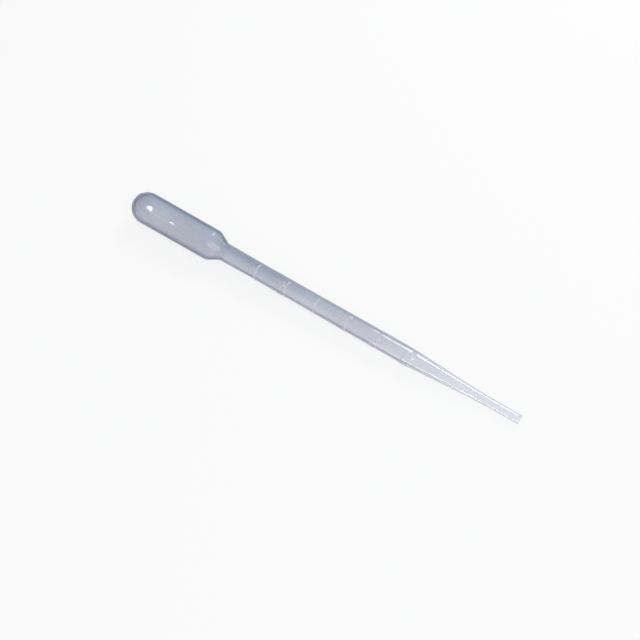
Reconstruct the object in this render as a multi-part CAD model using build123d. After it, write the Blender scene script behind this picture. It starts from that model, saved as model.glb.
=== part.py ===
from build123d import *

import os
from math import acos, asin, atan, cbrt, degrees, pi, radians, tan

# Transfer pipette: a squeezable bulb, a graduated stem and a drawn tip, blow moulded in one
# piece from soft clear polyethylene. The cavity is open at the tip alone.
# It is built along +X from the end of the bulb at x = 0, with its raised figures facing -Y and
# the mould's parting plane in XZ. It is then laid on z = 0, where it rests on the bulb's
# shoulder and on the end of its straight stem, with the tip towards +X and just off the ground.
# It has rolled over to the side that its figures are on, until its seam stopped it.
# Millimetres, millilitres and degrees.

# Lengths along the axis
TOTAL_LENGTH = 150.0
BULB_LENGTH = 34.0  # from the bulb's end to the corner of its shoulder
SHOULDER_LENGTH = 4.5
NECK_LENGTH = 12.0  # over which the stem draws in to its straight stretch
TAPER_LENGTH = 22.0
TIP_LENGTH = 17.2  # from the end of the taper to the end of the tip
TIP_LAND_LENGTH = 9.0  # the tip's straight end

# Radii
BULB_RADIUS = 5.65
BULB_DRAFT = 0.2  # how much narrower the bulb is at its shoulder
STEM_RADIUS = 3.0
NECK_FLARE = 0.15  # how much wider the stem is where it leaves the shoulder
TIP_BORE_RADIUS = 0.95

# Walls, measured square to the axis
DOME_WALL = 0.55  # at the bulb's end, where the parison was pinched off
BULB_WALL = 0.4
STEM_WALL = 0.4
TAPER_END_WALL = 0.75
TIP_WALL = 0.5

# Rounds of the outline's corners
SHOULDER_ROUND = 2.5
NECK_ROUND = 1.6
STEM_ROUND = 60.0  # at the shallow corners of the stem, the taper and the tip
TIP_EDGE_ROUND = 0.15

# The mould's marks, all of them raised
SEAM_HEIGHT = 0.16
SEAM_WIDTH = 0.22
MARK_HEIGHT = 0.2
MARK_WIDTH = 0.45
MARK_ARC = 170.0  # a line goes nearly as far round as its half of the mould
MARK_STEP_ML = 0.25
MARK_CLEARANCE = 10.0  # no line lies nearer to the shoulder than this
FIGURE_HEIGHT = 2.2
FIGURE_WIDTH = 1.25
FIGURE_STROKE = 0.32
FIGURE_SPACING = 0.55
FIGURE_GAP = 0.55  # between a line and the foot of its figures
POINT_RADIUS = 0.22

# What follows from those sizes
SHOULDER_END = BULB_LENGTH + SHOULDER_LENGTH
NECK_END = SHOULDER_END + NECK_LENGTH
TAPER_END = TOTAL_LENGTH - TIP_LENGTH
TAPER_START = TAPER_END - TAPER_LENGTH
TIP_LAND_START = TOTAL_LENGTH - TIP_LAND_LENGTH
BULB_FOOT_RADIUS = BULB_RADIUS - BULB_DRAFT
NECK_RADIUS = STEM_RADIUS + NECK_FLARE
STEM_BORE_RADIUS = STEM_RADIUS - STEM_WALL
TIP_RADIUS = TIP_BORE_RADIUS + TIP_WALL
REACH = 2 * BULB_RADIUS  # past every surface, measured from the axis


def revolved(dome_end, dome_radius, corners, rounds):
    """A solid turned about X: a dome, then a line through the corners, rounded at all but its ends."""
    dome = CenterArc((dome_end + dome_radius, 0), dome_radius, 90, 90)
    side = FilletPolyline((dome_end + dome_radius, dome_radius), *corners, radius=rounds)
    axis = Line(corners[-1], (dome_end, 0))
    return revolve(make_face(dome + side + axis), Axis.X)


def outline(raised=0.0):
    """The outer form from the dome to the axis at the tip: its corners, and a round for each but the last."""
    corners = [
        (BULB_LENGTH, BULB_FOOT_RADIUS + raised),
        (SHOULDER_END, NECK_RADIUS + raised),
        (NECK_END, STEM_RADIUS + raised),
        (TAPER_START, STEM_RADIUS + raised),
        (TAPER_END, TIP_BORE_RADIUS + TAPER_END_WALL + raised),
        (TIP_LAND_START, TIP_RADIUS + raised),
        (TOTAL_LENGTH, TIP_RADIUS + raised),
        (TOTAL_LENGTH, 0),
    ]
    return corners, [SHOULDER_ROUND, NECK_ROUND] + [STEM_ROUND] * 4 + [TIP_EDGE_ROUND]


def skin(raised=0.0):
    """The outer form as a full solid, or that form with its surface raised by so much."""
    return revolved(-raised, BULB_RADIUS + raised, *outline(raised))


def cavity():
    """The air inside, which runs out through the tip."""
    corners = [
        (BULB_LENGTH, BULB_FOOT_RADIUS - BULB_WALL),
        (SHOULDER_END, NECK_RADIUS - STEM_WALL),
        (NECK_END, STEM_BORE_RADIUS),
        (TAPER_START, STEM_BORE_RADIUS),
        (TAPER_END, TIP_BORE_RADIUS),
        (TOTAL_LENGTH + REACH, TIP_BORE_RADIUS),
        (TOTAL_LENGTH + REACH, 0),
    ]
    rounds = [SHOULDER_ROUND, NECK_ROUND] + [STEM_ROUND] * 3 + [TIP_BORE_RADIUS / 2]
    return revolved(DOME_WALL, BULB_RADIUS - BULB_WALL, corners, rounds)


def level_of(volume_ml):
    """Where a liquid of this volume stands once drawn up from the tip, and no further than the stem's top."""
    bore = [
        (TOTAL_LENGTH, TIP_BORE_RADIUS),
        (TAPER_END, TIP_BORE_RADIUS),
        (TAPER_START, STEM_BORE_RADIUS),
        (NECK_END, STEM_BORE_RADIUS),
        (SHOULDER_END, NECK_RADIUS - STEM_WALL),
    ]
    left = volume_ml * 1000
    for (low, low_radius), (high, high_radius) in zip(bore, bore[1:]):
        length = low - high
        held = pi * length * (low_radius**2 + low_radius * high_radius + high_radius**2) / 3
        if left <= held:
            growth = (high_radius - low_radius) / length
            if growth == 0:
                return low - left / (pi * low_radius**2)
            return low - (cbrt(low_radius**3 + 3 * growth * left / pi) - low_radius) / growth
        left -= held
    return SHOULDER_END


def marks():
    """(volume, place) for every line that the stem has room for."""
    found = []
    volume = MARK_STEP_ML
    while level_of(volume) > SHOULDER_END + MARK_CLEARANCE:
        found.append((volume, level_of(volume)))
        volume += MARK_STEP_ML
    return found


def mark_line(place):
    """A sector that stands out of the stem as one line of the scale."""
    blade = Pos(place, REACH / 2) * Rectangle(MARK_WIDTH, REACH)
    return Rot(X=180 - MARK_ARC / 2) * revolve(blade, Axis.X, MARK_ARC)


def figure_lines():
    """The centre lines of the ten figures, each in a cell whose lower left corner is (0, 0)."""
    width, height = FIGURE_WIDTH, FIGURE_HEIGHT
    half = width / 2
    ring = CenterArc((half, half), half, 0, 360)
    six = ring + Line(ring @ 0.42, (width * 0.65, height))
    small, large = height * 0.24, height * 0.26
    bowl_of_two = CenterArc((half, height - half), half, 180, -215)
    bowl_of_five = CenterArc((half, height * 0.32), height * 0.32, 130, -265)
    return {
        "0": CenterArc((half, height - half), half, 0, 180)
        + CenterArc((half, half), half, 180, 180)
        + Line((0, half), (0, height - half))
        + Line((width, half), (width, height - half)),
        "1": Polyline((half, 0), (half, height), (half * 0.3, height * 0.8)),
        "2": bowl_of_two + Polyline(bowl_of_two @ 1, (0, 0), (width, 0)),
        "3": CenterArc((half, height - small), small, 150, -240) + CenterArc((half, large), large, 90, -240),
        "4": Polyline((width * 0.75, 0), (width * 0.75, height), (0, height * 0.3), (width, height * 0.3)),
        "5": bowl_of_five + Polyline(bowl_of_five @ 0, (width * 0.1, height), (width, height)),
        "6": six,
        "7": Polyline((0, height), (width, height), (width * 0.3, 0)),
        "8": CenterArc((half, height - small), small, 0, 360) + CenterArc((half, large), large, 0, 360),
        "9": Pos(width, height) * Rot(Z=180) * six,
    }


def label(volume, place, figures):
    """The volume's figures as prisms. They stand on the bulb's side of the line with their heads towards the
    bulb, and go round the stem, each square to the surface under its middle."""
    text = f"{volume:g}"
    widths = [2 * POINT_RADIUS if character == "." else FIGURE_WIDTH for character in text]
    along = -(sum(widths) + FIGURE_SPACING * (len(text) - 1)) / 2
    foot = Plane(origin=(place - FIGURE_GAP, 0, 0), x_dir=(0, 0, 1), z_dir=(0, -1, 0))
    prisms = []
    for character, width in zip(text, widths):
        if character == ".":
            face = Pos(Y=POINT_RADIUS) * Circle(POINT_RADIUS)
        else:
            face = Pos(X=-width / 2) * trace(figures[character], FIGURE_STROKE)
        turn = degrees((along + width / 2) / STEM_RADIUS)
        prisms.append(Rot(X=-turn) * extrude(foot * face, REACH))
        along += width + FIGURE_SPACING
    return prisms


def parting_seam():
    """The fine ridge where the two halves of the mould met. The tip's straight end is free of it."""
    plate = Box(TIP_LAND_START + REACH, SEAM_WIDTH, 2 * REACH, align=(Align.MAX, Align.CENTER, Align.CENTER))
    return skin(SEAM_HEIGHT) & Pos(X=TIP_LAND_START) * plate


def pipette():
    """The moulding, along +X."""
    figures = figure_lines()
    raised = []
    for volume, place in marks():
        raised += [mark_line(place), *label(volume, place, figures)]
    return skin() + parting_seam() + (skin(MARK_HEIGHT) & Compound(raised)) - cavity()


def resting_tilt():
    """How far the axis slopes down towards the tip when the shoulder's round and the next round to reach the
    ground both lie on it. That one is at the start of the taper or at the tip's edge."""
    shoulder, taper, tip_edge = 0, 3, 6
    corners, rounds = outline()
    path = [Vector(BULB_RADIUS, BULB_RADIUS)] + [Vector(corner) for corner in corners]

    def centre_of_round(index):
        arriving = (path[index + 1] - path[index]).normalized()
        leaving = (path[index + 2] - path[index + 1]).normalized()
        cut = rounds[index] * tan(radians(arriving.get_angle(leaving)) / 2)
        return path[index + 1] - arriving * cut + Vector(arriving.Y, -arriving.X) * rounds[index]

    tilts = []
    for foot in (taper, tip_edge):
        step = centre_of_round(foot) - centre_of_round(shoulder)
        tilts.append(atan(-step.Y / step.X) + asin((rounds[shoulder] - rounds[foot]) / step.length))
    return degrees(min(tilts))


def resting_roll():
    """How far the parting plane leans from upright when the stem and one edge of its seam both lie on the
    ground. The figures face that far above level."""
    crest = STEM_RADIUS + SEAM_HEIGHT
    return degrees(acos(STEM_RADIUS / crest) + asin(SEAM_WIDTH / 2 / crest))


laid = Rot(Y=resting_tilt()) * Rot(X=-resting_roll()) * pipette()
box = laid.bounding_box()
laid = Pos(-box.center().X, -box.center().Y, -box.min.Z) * laid

os.makedirs("parts", exist_ok=True)
export_step(laid, "parts/pipette_body.step")
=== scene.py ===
# %% [markdown]
# # A transfer pipette
# This lesson models a soft plastic pipette, the kind that is used once: a bulb to squeeze, a thin stem with
# raised volume lines and figures, and a drawn tip. It is blow moulded, so it is one thin wall round a space
# full of air, and light goes through it. Two things are hard: the wall needs an inside as well as an
# outside, and the plastic is neither clear nor white.
#
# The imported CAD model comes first. It is the fixed frame, and whatever is made here has to fit its box.

from math import acos, asin, atan2, ceil, cos, degrees, pi, radians, sin, tan

import bpy
from mathutils import Matrix, Vector


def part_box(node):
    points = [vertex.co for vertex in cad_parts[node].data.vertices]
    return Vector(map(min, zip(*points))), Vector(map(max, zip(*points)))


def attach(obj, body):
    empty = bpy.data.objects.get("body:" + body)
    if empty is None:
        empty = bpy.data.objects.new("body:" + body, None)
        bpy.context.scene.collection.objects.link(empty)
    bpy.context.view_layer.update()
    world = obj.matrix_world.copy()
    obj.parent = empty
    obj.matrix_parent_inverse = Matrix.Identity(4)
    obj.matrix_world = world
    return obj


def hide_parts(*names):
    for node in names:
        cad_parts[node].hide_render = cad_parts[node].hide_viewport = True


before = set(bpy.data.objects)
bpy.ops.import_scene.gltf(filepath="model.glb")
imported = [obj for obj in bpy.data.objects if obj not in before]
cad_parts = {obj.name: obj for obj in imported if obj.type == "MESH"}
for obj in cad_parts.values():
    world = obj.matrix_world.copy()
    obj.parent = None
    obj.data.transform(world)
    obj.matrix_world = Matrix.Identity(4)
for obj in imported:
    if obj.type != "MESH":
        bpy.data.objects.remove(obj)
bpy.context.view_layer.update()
low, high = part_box("pipette_body")
print("box in mm", [round(1000 * v, 2) for v in (*low, *high)])

# %% [markdown]
# ## Sizes
# Every length is in metres, but a stem's wall is four tenths of a millimetre thick, so numbers are written
# in millimetres and scaled once. The names are a moulder's: the dome is the bulb's closed end, the shoulder
# is where it draws in to the stem, and the land is the tip's straight end.

# %% Sizes of the moulding
MM = 0.001

# Places along the axis, from the bulb's end
BULB_LENGTH = 34.0 * MM
SHOULDER_END = 38.5 * MM
NECK_END = 50.5 * MM
TAPER_START = 110.8 * MM
TAPER_END = 132.8 * MM
LAND_START = 141.0 * MM
TOTAL_LENGTH = 150.0 * MM

# Radii and walls
BULB_RADIUS, BULB_FOOT_RADIUS = 5.65 * MM, 5.45 * MM
NECK_RADIUS, STEM_RADIUS = 3.15 * MM, 3.0 * MM
TAPER_END_RADIUS, TIP_RADIUS, TIP_BORE_RADIUS = 1.7 * MM, 1.45 * MM, 0.95 * MM
DOME_WALL, SIDE_WALL = 0.55 * MM, 0.4 * MM

# Rounds of the corners
SHOULDER_ROUND, NECK_ROUND, STEM_ROUND = 2.5 * MM, 1.6 * MM, 60.0 * MM
TIP_EDGE_ROUND, BORE_EDGE_ROUND = 0.15 * MM, 0.05 * MM

# The mould's raised marks
SEAM_HEIGHT, SEAM_WIDTH = 0.16 * MM, 0.22 * MM
LINE_HEIGHT, LINE_WIDTH, LINE_ARC = 0.2 * MM, 0.45 * MM, radians(170)

# Where the lines lie. From each one down to the tip, the bore holds that many millilitres.
SCALE = {
    "0.25": 112.388 * MM,
    "0.5": 100.545 * MM,
    "0.75": 88.773 * MM,
    "1": 77.001 * MM,
    "1.25": 65.229 * MM,
    "1.5": 53.457 * MM,
}
print("wall in mm", SIDE_WALL / MM, "and lines at", [round(place / MM, 1) for place in SCALE.values()])

# %% [markdown]
# ## The outline
# A blown bottle, a vase and a pipette have one thing in common: half of their section, turned about a line,
# gives the whole form. The section could be drawn by hand as a curve, but its corners have known rounds, so
# a short function walks from corner to corner and swings round each one. The walk goes down the outside,
# over the tip's edge and back up the inside, so that the wall comes out as one closed skin.

# %% Walk round the corners
ROUND_STEP = radians(8)  # the longest step on a round


def walk(begin, corners, rounds):
    """Points from begin to the last corner. Every corner but the last is swung round at its radius."""
    points = [Vector(begin), *(Vector(corner) for corner in corners)]
    path = [points[0]]
    for before, corner, after, radius in zip(points, points[1:], points[2:], rounds):
        arriving, leaving = (corner - before).normalized(), (after - corner).normalized()
        bend = atan2(arriving.x * leaving.y - arriving.y * leaving.x, arriving.dot(leaving))
        swing_from = corner - arriving * radius * tan(abs(bend) / 2)
        centre = swing_from + Vector((-arriving.y, arriving.x)) * radius * (1 if bend > 0 else -1)
        steps = max(3, ceil(abs(bend) / ROUND_STEP))
        for step in range(steps + 1):
            path.append(centre + Matrix.Rotation(bend * step / steps, 2) @ (swing_from - centre))
    return path + [points[-1]]


def dome(centre, radius, steps=26):
    """A quarter circle from the axis up to the side."""
    turns = [k / steps * pi / 2 for k in range(steps + 1)]
    return [Vector((centre - radius * cos(turn), radius * sin(turn))) for turn in turns]


outside = [
    (BULB_LENGTH, BULB_FOOT_RADIUS),
    (SHOULDER_END, NECK_RADIUS),
    (NECK_END, STEM_RADIUS),
    (TAPER_START, STEM_RADIUS),
    (TAPER_END, TAPER_END_RADIUS),
    (LAND_START, TIP_RADIUS),
    (TOTAL_LENGTH, TIP_RADIUS),
    (TOTAL_LENGTH, TIP_BORE_RADIUS),
]
inner_bulb = BULB_RADIUS - SIDE_WALL
inside = [
    (TAPER_END, TIP_BORE_RADIUS),
    (TAPER_START, STEM_RADIUS - SIDE_WALL),
    (NECK_END, STEM_RADIUS - SIDE_WALL),
    (SHOULDER_END, NECK_RADIUS - SIDE_WALL),
    (BULB_LENGTH, BULB_FOOT_RADIUS - SIDE_WALL),
    (DOME_WALL + inner_bulb, inner_bulb),
]
rounds = [SHOULDER_ROUND, NECK_ROUND] + [STEM_ROUND] * 4 + [TIP_EDGE_ROUND, BORE_EDGE_ROUND]
rounds += [STEM_ROUND] * 3 + [NECK_ROUND, SHOULDER_ROUND]

side = walk((BULB_RADIUS, BULB_RADIUS), outside + inside, rounds)
outline = dome(BULB_RADIUS, BULB_RADIUS)[:-1] + side + dome(DOME_WALL + inner_bulb, inner_bulb)[-2::-1]
print("corners and rounds give", len(outline), "points")

# %% [markdown]
# The skin needs more rows than the outline has corners: a few on each long straight stretch, so that its
# finish can change along the way, and a close set across every raised line. Each row also carries numbers
# for later use. They say which way is out of the plastic, how far the row belongs to a line, whether
# the seam crosses it, whether it is on the inside, and how milky the wall is there.

# %% Rows, closer together where a line is raised
LONGEST_GAP = 1.6 * MM
LINE_ROWS = [-0.33, -0.27, -0.225, -0.18, -0.13, 0.0, 0.13, 0.18, 0.225, 0.27, 0.33]  # in mm
LINE_ZONE = 0.45 * MM  # no other row lies nearer to a line's middle


def spaced(path, longest):
    """The same path, with points added where two neighbours lie further apart than that."""
    rows = [path[0]]
    for a, b in zip(path, path[1:]):
        pieces = max(1, ceil((b - a).length / longest))
        rows += [a.lerp(b, k / pieces) for k in range(1, pieces + 1) if (b - a).length > 0]
    return rows


def tip_row(rows):
    """The number of the row at the tip's end, past which the rows are on the inside."""
    return max(range(len(rows)), key=lambda k: rows[k].x)


def with_line_rows(rows):
    """Swaps the outside's rows near each line of the scale for the close set that the line needs."""
    close = sorted(place + step * MM for place in SCALE.values() for step in LINE_ROWS)
    tip = tip_row(rows)
    kept = []
    for a, b in zip(rows[:tip], rows[1:tip + 1]):
        if all(abs(a.x - place) >= LINE_ZONE for place in SCALE.values()):
            kept.append(a)
        kept += [a.lerp(b, (x - a.x) / (b.x - a.x)) for x in close if a.x <= x < b.x]
    return kept + rows[tip:]


rows = with_line_rows(spaced(outline, LONGEST_GAP))
turning = tip_row(rows)
print("rows down the outside", turning, "and back up the inside", len(rows) - turning)

# %% What each row knows about itself
LINE_EDGE = 0.08 * MM  # half of the soft edge on each side of a raised line
SEAM_RUN_OUT = 0.6 * MM  # the seam dies away over this stretch, just above the land
INNER_FROM, INNER_TO = 6, 12  # rows past the tip's end, between which the inside takes over

# The share of the light that one pass through the wall takes away, at millimetres from the bulb's end
MILK = [
    (0, 0.27), (5, 0.175), (9, 0.15), (14, 0.165), (20, 0.18), (30, 0.167), (39, 0.178), (60, 0.187),
    (73, 0.145), (93, 0.13), (104, 0.103), (113, 0.085), (120, 0.08), (127, 0.06), (150, 0.05),
]


def smooth(value, low_end, high_end):
    """0 below low_end, 1 above high_end, with a soft step between."""
    t = min(1.0, max(0.0, (value - low_end) / (high_end - low_end)))
    return t * t * (3 - 2 * t)


def line_at(x):
    """1 on a raised line, 0 away from them all."""
    half = LINE_WIDTH / 2
    return max(1 - smooth(abs(x - place), half - LINE_EDGE, half + LINE_EDGE) for place in SCALE.values())


def seam_at(x):
    """1 where the seam crosses a row, and 0 from the land on."""
    return 1 - smooth(x, LAND_START - SEAM_RUN_OUT, LAND_START)


def milk_at(x):
    """The wall's milkiness at that place along the axis."""
    for (a, low_milk), (b, high_milk) in zip(MILK, MILK[1:]):
        if x / MM <= b:
            return low_milk + (high_milk - low_milk) * (x / MM - a) / (b - a)
    return MILK[-1][1]


def out_of_plastic(rows):
    """At each row, the direction straight out of the wall, in the plane of the section."""
    ways = []
    for k in range(len(rows)):
        along = rows[min(k + 1, len(rows) - 1)] - rows[max(k - 1, 0)]
        ways.append(Vector((-along.y, along.x)).normalized())
    ways[0], ways[-1] = Vector((-1, 0)), Vector((1, 0))
    return ways


outer = [k <= turning for k in range(len(rows))]
numbers = {
    "line": [line_at(row.x) if on else 0.0 for row, on in zip(rows, outer)],
    "seam": [seam_at(row.x) if on else 0.0 for row, on in zip(rows, outer)],
    "inner": [smooth(k, turning + INNER_FROM, turning + INNER_TO) for k in range(len(rows))],
    "milk": [milk_at(row.x) for row in rows],
}
section = bpy.data.meshes.new("section of the wall")
edges = [(k, k + 1) for k in range(len(rows) - 1)]
section.from_pydata([(row.x, 0, max(0.0, row.y)) for row in rows], edges, [])
for name, values in numbers.items():
    section.attributes.new(name, "FLOAT", "POINT").data.foreach_set("value", values)
out = section.attributes.new("out", "FLOAT_VECTOR", "POINT")
out.data.foreach_set("vector", [c for way in out_of_plastic(rows) for c in (way.x, 0.0, way.y)])
print("rows", len(rows), "of which on a line", sum(share > 0.5 for share in numbers["line"]))

# %% [markdown]
# ## A small bench for nodes
# Node trees grow long when every node and link is written out. Three short classes keep them readable. The
# first wraps a socket, so that sums on it can be written as sums. The second is a node that was added, and
# its outputs are read by name. The third adds it: its type, then its settings, then what goes in to it.
# They serve the geometry trees and the plastic alike.

# %% The bench
class Flow:
    """A socket's value on its way through a node tree."""

    def __init__(self, bench, socket):
        self.bench, self.socket = bench, socket

    def maths(self, operation, *others):
        return self.bench.maths(operation, self, *others)

    def __add__(self, other): return self.maths("ADD", other)
    def __sub__(self, other): return self.maths("SUBTRACT", other)
    def __mul__(self, other): return self.maths("MULTIPLY", other)
    def __truediv__(self, other): return self.maths("DIVIDE", other)
    def __pow__(self, other): return self.maths("POWER", other)
    def __radd__(self, other): return self.maths("ADD", other)
    def __rmul__(self, other): return self.maths("MULTIPLY", other)
    def __rsub__(self, other): return self.bench.maths("SUBTRACT", other, self)
    def __rtruediv__(self, other): return self.bench.maths("DIVIDE", other, self)
    def __rpow__(self, other): return self.bench.maths("POWER", other, self)


class Made:
    """A node, whose outputs are read by name or number as flows."""

    def __init__(self, bench, node):
        self.bench, self.node = bench, node

    def __getitem__(self, key):
        return Flow(self.bench, self.node.outputs[key])


class Bench:
    """A node tree that is being built."""

    def __init__(self, tree):
        self.tree = tree

    def add(self, kind, settings=None, sockets=None):
        """Any node: its settings are set first, and then its sockets' values or links."""
        node = self.tree.nodes.new(kind)
        for name, value in (settings or {}).items():
            setattr(node, name, value)
        for key, value in (sockets or {}).items():
            if isinstance(value, Flow):
                self.tree.links.new(value.socket, node.inputs[key])
            else:
                node.inputs[key].default_value = value
        return Made(self, node)

    def maths(self, operation, *values):
        """One Math node on these values."""
        return self.add("ShaderNodeMath", {"operation": operation}, dict(enumerate(values)))[0]

    def ramp(self, value, from_low, from_high):
        """0 at one end of the range and 1 at the other, and no further, with a soft step between."""
        sockets = {"Value": value, "From Min": from_low, "From Max": from_high}
        return self.add("ShaderNodeMapRange", {"interpolation_type": "SMOOTHSTEP"}, sockets)["Result"]

    def noise(self, place, waves, detail=2.0, roughness=0.5):
        """Noise at a place, with so many waves in a metre in each direction."""
        fitted = self.add("ShaderNodeVectorMath", {"operation": "MULTIPLY"}, {0: place, 1: waves})[0]
        sockets = {"Vector": fitted, "Scale": 1.0, "Detail": detail, "Roughness": roughness}
        return self.add("ShaderNodeTexNoise", {"noise_dimensions": "3D"}, sockets)["Fac"]

    def blend(self, share, first, second):
        """A mix of two colours."""
        first, second = (c if isinstance(c, Flow) else (*c, 1) for c in (first, second))
        return self.add("ShaderNodeMix", {"data_type": "RGBA"}, {0: share, 6: first, 7: second})[2]


print("the bench is ready")

# %% Geometry trees: how one begins, how it ends, and how it is run
def put(name, data):
    """A new object in the scene."""
    made = bpy.data.objects.new(name, data)
    bpy.context.scene.collection.objects.link(made)
    return made


def geometry_bench(title, sizes):
    """An empty geometry tree whose inputs are these sizes, as {name: (socket type, default)}."""
    tree = bpy.data.node_groups.new(title, "GeometryNodeTree")
    tree.interface.new_socket("Geometry", in_out="INPUT", socket_type="NodeSocketGeometry")
    tree.interface.new_socket("Geometry", in_out="OUTPUT", socket_type="NodeSocketGeometry")
    for name, (kind, default) in sizes.items():
        tree.interface.new_socket(name, in_out="INPUT", socket_type=kind).default_value = default
    bench = Bench(tree)
    return bench, bench.add("NodeGroupInput")


def keep(bench, mesh, attributes):
    """Stores numbers on the points for the plastic to read, as {name: (data type, value)}."""
    for name, (kind, value) in attributes.items():
        sockets = {"Geometry": mesh, "Name": name, "Value": value}
        settings = {"data_type": kind, "domain": "POINT"}
        mesh = bench.add("GeometryNodeStoreNamedAttribute", settings, sockets)["Geometry"]
    return mesh


def hand_over(bench, mesh, material):
    """Ends a tree: smooth faces, no instances, one material."""
    mesh = bench.add("GeometryNodeSetShadeSmooth", None, {"Geometry": mesh})["Geometry"]
    mesh = bench.add("GeometryNodeRealizeInstances", None, {"Geometry": mesh})["Geometry"]
    mesh = bench.add("GeometryNodeSetMaterial", None, {"Geometry": mesh, "Material": material})["Geometry"]
    bench.add("NodeGroupOutput", None, {"Geometry": mesh})


def shaped(name, source, tree, inputs):
    """Runs a geometry tree on a mesh or curve, with these inputs, and returns a plain mesh object."""
    raw = put(name + " source", source)
    modifier = raw.modifiers.new("made", "NODES")
    modifier.node_group = tree
    sockets = {item.name: item.identifier for item in tree.interface.items_tree if item.in_out == "INPUT"}
    for title, value in inputs.items():
        modifier[sockets[title]] = value
    view = bpy.context.evaluated_depsgraph_get()
    evaluated = raw.evaluated_get(view)
    mesh = bpy.data.meshes.new_from_object(evaluated, preserve_all_data_layers=True, depsgraph=view)
    raw.modifiers.remove(modifier)
    bpy.data.objects.remove(raw)
    mesh.name = name
    return put(name, mesh)


print("geometry trees can be built and run")

# %% [markdown]
# ## The wall
# A lathe is a rule: every row of the section goes round the axis at its own radius. So a geometry tree can
# be the lathe. It lays out a flat grid, one column for each step round and one row for each row of the
# section, and then sends each point to its place. The same tree raises the scale's lines and the seam where
# the mould's halves met, since both only lift the skin, and it makes the inside a little uneven, because air
# and not a mould shaped it. A boolean could add the lines, but their edges would be sharper than moulded
# plastic is.

# %% The lathe as a geometry tree
lathe, sizes_in = geometry_bench("blown wall", {
    "Steps Round": ("NodeSocketInt", 240),
    "Line Height": ("NodeSocketFloat", LINE_HEIGHT),
    "Line Arc": ("NodeSocketFloat", LINE_ARC),
    "Seam Height": ("NodeSocketFloat", SEAM_HEIGHT),
    "Seam Width": ("NodeSocketFloat", SEAM_WIDTH),
    "Unevenness": ("NodeSocketFloat", 0.06 * MM),
    "Plastic": ("NodeSocketMaterial", None),
})
section_in = {"Geometry": sizes_in["Geometry"]}
row_count = lathe.add("GeometryNodeAttributeDomainSize", None, section_in)["Point Count"]
points_each_way = {"Vertices X": sizes_in["Steps Round"] + 1, "Vertices Y": row_count}
grid = lathe.add("GeometryNodeMeshGrid", None, points_each_way)["Mesh"]
index = lathe.add("GeometryNodeInputIndex")[0]
row = index.maths("MODULO", row_count)
column = (index / row_count).maths("FLOOR")


def of_row(name, kind="FLOAT"):
    """What the section says about this point's row."""
    if name == "position":
        read = lathe.add("GeometryNodeInputPosition")[0]
    else:
        read = lathe.add("GeometryNodeInputNamedAttribute", {"data_type": kind}, {"Name": name})["Attribute"]
    sockets = {**section_in, "Value": read, "Index": row}
    return lathe.add("GeometryNodeSampleIndex", {"data_type": kind}, sockets)["Value"]


def parts_of(vector):
    """How far a vector of the section goes along the axis, and how far away from it."""
    split = lathe.add("ShaderNodeSeparateXYZ", None, {0: vector})
    return split["X"], split["Z"]


along, radius = parts_of(of_row("position", "FLOAT_VECTOR"))
out_along, out_round = parts_of(of_row("out", "FLOAT_VECTOR"))
angle = column * (2 * pi) / sizes_in["Steps Round"]
from_front = pi - (angle - pi).maths("ABSOLUTE")
from_parting = (radius * angle.maths("COSINE")).maths("ABSOLUTE")
print("nodes in the lathe so far", len(lathe.tree.nodes))

# %% Lines, seam and an uneven inside, all as a lift of the skin
LINE_END = radians(1.5)  # half of the soft end of a line
SEAM_CREST, SEAM_FOOT = 0.28, 0.78  # from the seam's middle, in widths of the seam
UNEVEN_WAVES = (90, 330, 330)  # in a metre, along the axis and across it

past_line = lathe.ramp(from_front - sizes_in["Line Arc"] / 2, -LINE_END, LINE_END)
line_lift = of_row("line") * (1 - past_line) * sizes_in["Line Height"]
past_seam = lathe.ramp(from_parting / sizes_in["Seam Width"], SEAM_CREST, SEAM_FOOT)
seam_lift = of_row("seam") * (1 - past_seam) * sizes_in["Seam Height"]
raised = line_lift.maths("MAXIMUM", seam_lift)


def placed(x, distance):
    """The point at that place along the axis and that distance from it, at this column's angle."""
    across, upwards = -1 * distance * angle.maths("COSINE"), distance * angle.maths("SINE")
    return lathe.add("ShaderNodeCombineXYZ", None, {"X": x, "Y": across, "Z": upwards})[0]


uneven = lathe.noise(placed(along, radius), UNEVEN_WAVES) - 0.5
lift = raised + uneven * of_row("inner") * sizes_in["Unevenness"]
skin_place = placed(along + out_along * lift, (radius + out_round * lift).maths("MAXIMUM", 0.0))
print("nodes in the lathe now", len(lathe.tree.nodes))

# %% Keep what the plastic needs to know, close the joint and the poles, and run it
WELD = 0.0002 * MM

wall = lathe.add("GeometryNodeSetPosition", None, {"Geometry": grid, "Position": skin_place})["Geometry"]
wall = keep(lathe, wall, {
    "mould_place": ("FLOAT_VECTOR", placed(along, radius)),
    "milk": ("FLOAT", of_row("milk")),
    "inner": ("FLOAT", of_row("inner")),
    "raised": ("FLOAT", raised / sizes_in["Line Height"]),
})
wall = lathe.add("GeometryNodeMergeByDistance", None, {"Geometry": wall, "Distance": WELD})["Geometry"]
wall = lathe.add("GeometryNodeFlipFaces", None, {"Mesh": wall})["Mesh"]
hand_over(lathe, wall, sizes_in["Plastic"])

polyethylene = bpy.data.materials.new("polyethylene")
pipette_wall = shaped("pipette_wall", section, lathe.tree, {"Plastic": polyethylene})
print("points", len(pipette_wall.data.vertices), "faces", len(pipette_wall.data.polygons))


def volume_of(mesh):
    """The volume that a closed mesh holds. It is below zero where the faces look inwards."""
    mesh.calc_loop_triangles()
    corners = [[mesh.vertices[k].co for k in triangle.vertices] for triangle in mesh.loop_triangles]
    return sum(a.dot(b.cross(c)) for a, b, c in corners) / 6


print("plastic in ml", round(volume_of(pipette_wall.data) * 1e6, 4))

# %% [markdown]
# ## Laying it down
# The real one can't stand. On a table it rests on its shoulder and on the end of its straight stem, which
# slopes it a little towards the tip, and it rolls until the seam's edge stops it. Both angles follow from
# the sizes. The mesh is turned and moved, and not the object, because a finished object stays at the origin.
# Where it ends up is taken from the CAD node's box.

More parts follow.
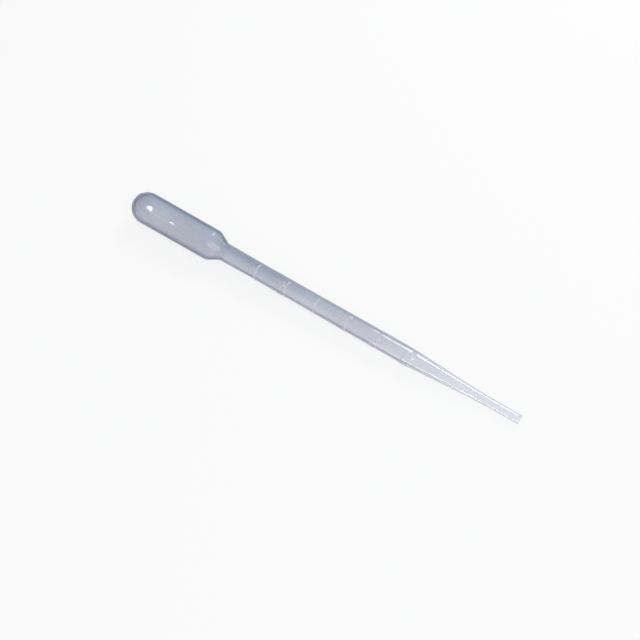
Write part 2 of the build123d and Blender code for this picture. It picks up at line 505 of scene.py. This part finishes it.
# %% The matrix that lays it down
SLOPE = radians(1.83606)  # the rounds at the shoulder and at the taper's start both touch the table
crest = STEM_RADIUS + SEAM_HEIGHT
ROLL = acos(STEM_RADIUS / crest) + asin(SEAM_WIDTH / 2 / crest)
turned = Matrix.Rotation(SLOPE, 4, "Y") @ Matrix.Rotation(-ROLL, 4, "X")


def box_of(mesh):
    """The lowest and highest corners of a mesh."""
    return [Vector(pick(v.co[k] for v in mesh.vertices) for k in range(3)) for pick in (min, max)]


pipette_wall.data.transform(turned)
low_now, high_now = box_of(pipette_wall.data)
shift = (low + high) / 2 - (low_now + high_now) / 2
shift.z = low.z - low_now.z
pipette_wall.data.transform(Matrix.Translation(shift))
LAY = Matrix.Translation(shift) @ turned
laid_box = [[round(v / MM, 2) for v in corner] for corner in box_of(pipette_wall.data)]
print("rolled by", round(degrees(ROLL), 2), "degrees; box in mm", laid_box)

# %% [markdown]
# ## The scale's figures
# Each line has its volume beside it in raised figures, cut into the mould with a round-ended cutter. A text
# object would bring a font's flat faces and sharp corners. Strokes are closer to the real thing: each figure
# is a few centre lines, drawn flat, and a geometry tree wraps them round the stem and gives them the
# cutter's round section. They are generic numbers and nothing more.

# %% Centre lines of the figures, in millimetres
CELL, TALL, STROKE, POINT = 1.25, 2.2, 0.32, 0.22
GAP_BETWEEN, GAP_TO_LINE = 0.55, 0.55
ARC_STEP = 14  # degrees


def arc(x, y, radius, begin, sweep):
    """Points on an arc. Angles are in degrees, anticlockwise."""
    steps = max(6, ceil(abs(sweep) / ARC_STEP))
    turns = [radians(begin + sweep * k / steps) for k in range(steps + 1)]
    return [(x + radius * cos(turn), y + radius * sin(turn)) for turn in turns]


mid = CELL / 2
round_two = arc(mid, TALL - mid, mid, 180, -215)
round_five = arc(mid, TALL * 0.32, TALL * 0.32, 130, -265)
STROKES = {
    "0": [arc(mid, TALL - mid, mid, 0, 180) + arc(mid, mid, mid, 180, 180) + [(CELL, TALL - mid)]],
    "1": [[(mid * 0.3, TALL * 0.8), (mid, TALL), (mid, 0)]],
    "2": [round_two + [(0, 0), (CELL, 0)]],
    "5": [round_five[::-1] + [(CELL * 0.1, TALL), (CELL, TALL)]],
    "7": [[(0, TALL), (CELL, TALL), (CELL * 0.3, 0)]],
    ".": [arc(POINT, POINT, POINT / 2, 0, 360)],
}
print("strokes are drawn for", " ".join(STROKES))

# %% Set out every label as flat strokes: across is round the stem, along is up it
def set_out(text):
    """Strokes of a whole label, centred across, with their feet at 0."""
    widths = [2 * POINT if sign == "." else CELL for sign in text]
    at, strokes = -(sum(widths) + GAP_BETWEEN * (len(text) - 1)) / 2, []
    for sign, width in zip(text, widths):
        strokes += [[(at + x, y) for x, y in stroke] for stroke in STROKES[sign]]
        at += width + GAP_BETWEEN
    return strokes


flat = bpy.data.curves.new("flat figures", "CURVE")
flat.dimensions = "3D"
for text, place in SCALE.items():
    foot = place / MM - GAP_TO_LINE
    for stroke in set_out(text):
        spline = flat.splines.new("POLY")
        spline.points.add(len(stroke) - 1)
        spline.points.foreach_set("co", [c for x, y in stroke for c in ((foot - y) * MM, x * MM, 0, 1)])
print("strokes in all", len(flat.splines))

# %% The tree that wraps them round the stem
NARROWEST = 0.12  # of the cutter's section, at a stroke's very end
FIGURE_MILK = 0.4

wrap, strokes_in = geometry_bench("figures round the stem", {
    "Stem Radius": ("NodeSocketFloat", STEM_RADIUS),
    "Cutter Radius": ("NodeSocketFloat", STROKE / 2 * MM),
    "Cutter Sides": ("NodeSocketInt", 12),
    "Stroke Step": ("NodeSocketFloat", 0.07 * MM),
    "Height": ("NodeSocketFloat", LINE_HEIGHT),
    "Plastic": ("NodeSocketMaterial", None),
})
cutter_radius = strokes_in["Cutter Radius"]
stepped = {"Curve": strokes_in["Geometry"], "Length": strokes_in["Stroke Step"]}
fine = wrap.add("GeometryNodeResampleCurve", {"mode": "LENGTH"}, stepped)["Curve"]
flat_place = wrap.add("ShaderNodeSeparateXYZ", None, {0: wrap.add("GeometryNodeInputPosition")[0]})
way_round = flat_place["Y"] / strokes_in["Stem Radius"]
middle_of_stroke = strokes_in["Stem Radius"] + strokes_in["Height"] - cutter_radius
wrapped = wrap.add("ShaderNodeCombineXYZ", None, {
    "X": flat_place["X"],
    "Y": -1 * middle_of_stroke * way_round.maths("COSINE"),
    "Z": middle_of_stroke * way_round.maths("SINE"),
})[0]
fine = wrap.add("GeometryNodeSetPosition", None, {"Geometry": fine, "Position": wrapped})["Geometry"]

reach = wrap.add("GeometryNodeSplineParameter")["Length"]
whole = wrap.add("GeometryNodeSplineLength")["Length"]
to_end = (reach.maths("MINIMUM", whole - reach) / cutter_radius).maths("MINIMUM", 1.0)
round_end = (1 - (1 - to_end) ** 2).maths("SQRT").maths("MAXIMUM", NARROWEST)
circle = {"Resolution": strokes_in["Cutter Sides"], "Radius": cutter_radius}
cutter = wrap.add("GeometryNodeCurvePrimitiveCircle", None, circle)["Curve"]
swept = {"Curve": fine, "Profile Curve": cutter, "Scale": round_end, "Fill Caps": True}
strokes = wrap.add("GeometryNodeCurveToMesh", None, swept)["Mesh"]
strokes = keep(wrap, strokes, {
    "mould_place": ("FLOAT_VECTOR", wrap.add("GeometryNodeInputPosition")[0]),
    "milk": ("FLOAT", FIGURE_MILK),
    "raised": ("FLOAT", 1.0),
})
hand_over(wrap, strokes, strokes_in["Plastic"])

scale_figures = shaped("scale_figures", flat, wrap.tree, {"Plastic": polyethylene})
scale_figures.data.transform(LAY)
triangles = sum(len(face.vertices) - 2 for face in scale_figures.data.polygons)
print("triangles in the figures", triangles, "volume in mm3", round(volume_of(scale_figures.data) * 1e9, 3))

# %% [markdown]
# ## The plastic
# Low-density polyethylene is milky. One thin wall held against the light is nearly clear, and it looks more
# solid the more plastic the eye looks through: at the edges, where the wall is seen end on, and where two
# walls lie behind each other. Glass with rough walls could do this, but then a lamp could not shine through,
# and the pipette would throw a hard shadow. Here each of the wall's two skins is a mix of clear and a body
# colour, and a Layer Weight node raises the body's share where a skin is seen edge on, as the longer way
# through a real wall does.
#
# No two places are quite alike. The wall thins towards the tip, and painted shade makes one side darker and
# bluer.
# The plastic was drawn downwards while it was hot, which left faint lengthwise streaks, and the mould was
# blasted with sand, which left a fine satin. All of this follows the moulding and not the table, so the
# nodes read the place that was stored on the mesh before it was laid down.
#
# The gloss lies on top, as a thin share of a second shader. The drawn taper has more of it than the rest,
# and the inside has none, because glints on both skins would turn the plastic into glass.

# %% What the mesh tells the plastic, and the grain that lies on it
def emptied(owner):
    """A bench on the node tree of a material or a world, with nothing in it yet."""
    owner.use_nodes = True
    owner.node_tree.nodes.clear()
    return Bench(owner.node_tree)


def stored(name):
    """A number or a place that was kept on the mesh."""
    return plastic.add("ShaderNodeAttribute", {"attribute_name": name})


STREAK_WAVES = (24, 900, 900)  # in a metre, along the axis and across it
CLOUD_WAVES = (70, 160, 160)
SATIN_WAVES = (9000, 9000, 9000)

plastic = emptied(polyethylene)
mould_place = stored("mould_place")["Vector"]
raised_here = stored("raised")["Fac"]
streaks = plastic.noise(mould_place, STREAK_WAVES)
clouds = plastic.noise(mould_place, CLOUD_WAVES)
satin = plastic.noise(mould_place, SATIN_WAVES, detail=3.0, roughness=0.6)
print("nodes in the plastic so far", len(plastic.tree.nodes))

# %% How far the light is held back, and where
PAINTED_SHADE_SIDE = radians(131)  # the side that painted shade darkens, as an angle about the axis
FULL_EDGE = 0.92  # how much of the light is held back where a skin is seen edge on
EDGE_FALL = 3.6  # the higher this is, the nearer that stays to the edge

place = plastic.add("ShaderNodeSeparateXYZ", None, {0: mould_place})
from_axis = (place["Y"] ** 2 + place["Z"] ** 2).maths("SQRT").maths("MAXIMUM", 0.1 * MM)
# Painted shade: one side of the wall holds back more light, so it reads darker, most of all on the stem
toward_painted_shade = (place["Z"] * sin(PAINTED_SHADE_SIDE) - place["Y"] * cos(PAINTED_SHADE_SIDE)) / from_axis
on_stem = plastic.ramp(place["X"] / SHOULDER_END, 0.85, 1.0)
far_down = plastic.ramp(place["X"] / TAPER_START, 0.6, 0.9)
swing = 0.12 + 0.16 * (on_stem - 0.6 * far_down)
painted_shade_lean = (toward_painted_shade * 1.8).maths("MINIMUM", 1.0).maths("MAXIMUM", -1.0) * swing
milk_and_painted_shade = stored("milk")["Fac"] * (1 + painted_shade_lean) * (0.7 + 0.4 * streaks + 0.2 * clouds) + 0.2 * raised_here
edge_on = plastic.add("ShaderNodeLayerWeight", None, {"Blend": 0.5})["Facing"] ** EDGE_FALL
held_back = 1 - (1 - milk_and_painted_shade) * (1 - FULL_EDGE * edge_on)
print("nodes in the plastic now", len(plastic.tree.nodes))

# %% Its colour, gloss and fine relief
PAINTED_SHADE_TINT, DULL = (0.075, 0.168, 0.33), (0.15, 0.165, 0.3)  # the body where painted shade lies, and on the other side
PAINTED_HIGHLIGHT_TINT = (0.88, 0.91, 0.96)  # painted highlight: lines, figures and seam are painted paler, as where they catch the light
POLISH, TAPER_POLISH = 0.03, 0.045  # the share of gloss everywhere, and what the taper has besides

# Painted shade: bluer towards the shaded side, mixed with random clouds of tone
cloud_and_painted_shade_coolness = plastic.ramp(0.4 + 0.5 * toward_painted_shade + 1.2 * (clouds - 0.5), 0.2, 0.8)
# The body colour, with painted shade on one side and a painted highlight on the raised marks
tint = plastic.blend(raised_here * 0.85, plastic.blend(cloud_and_painted_shade_coolness, DULL, PAINTED_SHADE_TINT), PAINTED_HIGHLIGHT_TINT)
gloss = 0.015 + 0.02 * satin + 0.025 * streaks
relief = plastic.add("ShaderNodeBump", None, {
    "Strength": 0.1,
    "Distance": 0.03 * MM,
    "Height": streaks + 0.08 * satin,
})["Normal"]
body = plastic.add("ShaderNodeBsdfPrincipled", None, {
    "Base Color": tint,
    "Roughness": 0.5,
    "Specular IOR Level": 0.0,
    "Normal": relief,
})["BSDF"]
shine = plastic.add("ShaderNodeBsdfAnisotropic", {"distribution": "GGX"}, {
    "Color": (1, 1, 1, 1),
    "Roughness": gloss,
    "Normal": relief,
})["BSDF"]
clear = plastic.add("ShaderNodeBsdfTransparent", None, {"Color": (0.98, 0.985, 1, 1)})[0]
skin = plastic.add("ShaderNodeMixShader", None, {0: held_back, 1: clear, 2: body})[0]
on_taper = plastic.ramp(place["X"] / TAPER_START, 0.975, 1.02)
polish = (POLISH + TAPER_POLISH * on_taper) * (1 - stored("inner")["Fac"])
skin = plastic.add("ShaderNodeMixShader", None, {0: polish, 1: skin, 2: shine})[0]
plastic.add("ShaderNodeOutputMaterial", None, {"Surface": skin})
polyethylene.surface_render_method = "BLENDED"
print("nodes in the plastic at the end", len(plastic.tree.nodes))

# %% [markdown]
# ## The frame takes the pieces
# Each piece rides on the CAD's one body. The CAD node is hidden, because the wall made here stands for it.

# %% Ride and replace
for piece in (pipette_wall, scale_figures):
    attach(piece, "root")
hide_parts("pipette_body")
print("pieces", [piece.name for piece in (pipette_wall, scale_figures)])

# %% [markdown]
# ## Floor, light and camera
# The pipette lies on plain white. Most of the floor's white is given to the camera, to gloss and to what is
# seen through the plastic, so that it stays white at any angle, and the rest is lit as paint is, so that the
# shadow stays. Far from the pipette, where no shadow falls, all of it is given.
#
# Three lamps light the scene. A broad one stands to the right of the camera. A smaller one behind draws the
# bright line along the taper and the glint on the shoulder. The third makes the dot on the bulb. A round
# side squeezes a reflection to a thin line, so a square lamp would give a hair and not a dot. This one is a
# narrow strip that lies square to the pipette, and the squeeze turns it into a dot.

# %% Floor and surroundings
WHITE_GIVEN = 0.76  # the share of the floor's white that is given and not lit, close to the pipette
FLOOR_SIDE = 6.0


def seen_white(bench, shader, share, glow):
    """Mixes in plain white for the camera, for gloss and for what is seen through the plastic."""
    path = bench.add("ShaderNodeLightPath")
    gloss_ray, through_ray = path["Is Glossy Ray"], path["Is Transmission Ray"]
    seen = path["Is Camera Ray"].maths("MAXIMUM", gloss_ray).maths("MAXIMUM", through_ray)
    white = bench.add(glow, None, {"Color": (1, 1, 1, 1), "Strength": 1.0})[0]
    return bench.add("ShaderNodeMixShader", None, {0: seen * share, 1: shader, 2: white})[0]


paint = bpy.data.materials.new("white floor")
floor_bench = emptied(paint)
matt = floor_bench.add("ShaderNodeBsdfDiffuse", None, {"Color": (0.95, 0.95, 0.95, 1)})[0]
on_floor = floor_bench.add("ShaderNodeTexCoord")["Object"]
how_far = floor_bench.add("ShaderNodeVectorMath", {"operation": "LENGTH"}, {0: on_floor})["Value"]
white_share = WHITE_GIVEN + (1 - WHITE_GIVEN) * floor_bench.ramp(how_far, 0.15, 0.8)
floor_white = seen_white(floor_bench, matt, white_share, "ShaderNodeEmission")
floor_bench.add("ShaderNodeOutputMaterial", None, {"Surface": floor_white})

corners = [(x * FLOOR_SIDE / 2, y * FLOOR_SIDE / 2, 0) for x, y in ((-1, -1), (1, -1), (1, 1), (-1, 1))]
floor_mesh = bpy.data.meshes.new("floor")
floor_mesh.from_pydata(corners, [], [(0, 1, 2, 3)])
floor_mesh.materials.append(paint)
put("floor", floor_mesh)

world = bpy.data.worlds.new("room")
bpy.context.scene.world = world
room = emptied(world)
walls = room.add("ShaderNodeBackground", None, {"Color": (0.96, 0.98, 1.0, 1), "Strength": 0.36})[0]
room_white = seen_white(room, walls, 1.0, "ShaderNodeBackground")
room.add("ShaderNodeOutputWorld", None, {"Surface": room_white})
print("floor and room are white to the eye")

# %% Lamps
def lamp(name, place, aim, size, watts, upright=(0, 0, 1)):
    """A rectangular area lamp, in metres and watts, that faces its aim. Its second side leans to upright."""
    light = bpy.data.lights.new(name, "AREA")
    light.shape, light.size, light.size_y = "RECTANGLE", *size
    light.energy = watts
    made = put(name, light)
    made.location = place
    facing = (Vector(place) - Vector(aim)).normalized()
    across = Vector(upright).cross(facing).normalized()
    made.rotation_euler = Matrix((across, facing.cross(across), facing)).transposed().to_euler()


lamp("broad", (0.60, -0.40, 0.68), (0, 0, 0), (0.9, 0.7), 5.0)
lamp("back", (0.0, 0.43, 0.40), (0.03, 0, 0), (0.18, 0.25), 1.1)
lamp("strip", (-0.322, -0.181, 0.476), (-0.066, 0, 0), (0.003, 0.12), 0.13, upright=(0, 0.93, 0.36))
print("lamps", [light.name for light in bpy.data.lights])

# %% [markdown]
# The camera looks down at the table from the side that the figures face, from about the height of someone
# who has just put the pipette down.

# %% Camera
YAW, ELEVATION, DISTANCE = radians(33.40), radians(57.0), 0.263
AIM_ALONG, AIM_ACROSS, AIM_HEIGHT = 0.006, -0.005, 0.005  # from the middle of the CAD box, and off the table
LENS, SENSOR_WIDTH = 46.125, 36.0  # in mm

aim = Vector(((low.x + high.x) / 2 + AIM_ALONG, (low.y + high.y) / 2 + AIM_ACROSS, AIM_HEIGHT))
view_from = Vector((sin(YAW) * cos(ELEVATION), -cos(YAW) * cos(ELEVATION), sin(ELEVATION)))
camera_data = bpy.data.cameras.new("camera")
camera_data.sensor_width, camera_data.lens = SENSOR_WIDTH, LENS
camera_data.clip_start, camera_data.clip_end = 0.01, 20.0
camera = put("camera", camera_data)
camera.location = aim + view_from * DISTANCE
camera.rotation_euler = (-view_from).to_track_quat("-Z", "Y").to_euler()
bpy.context.scene.camera = camera
bpy.context.scene.view_settings.view_transform = "Standard"
print("camera at", [round(v, 4) for v in camera.location])
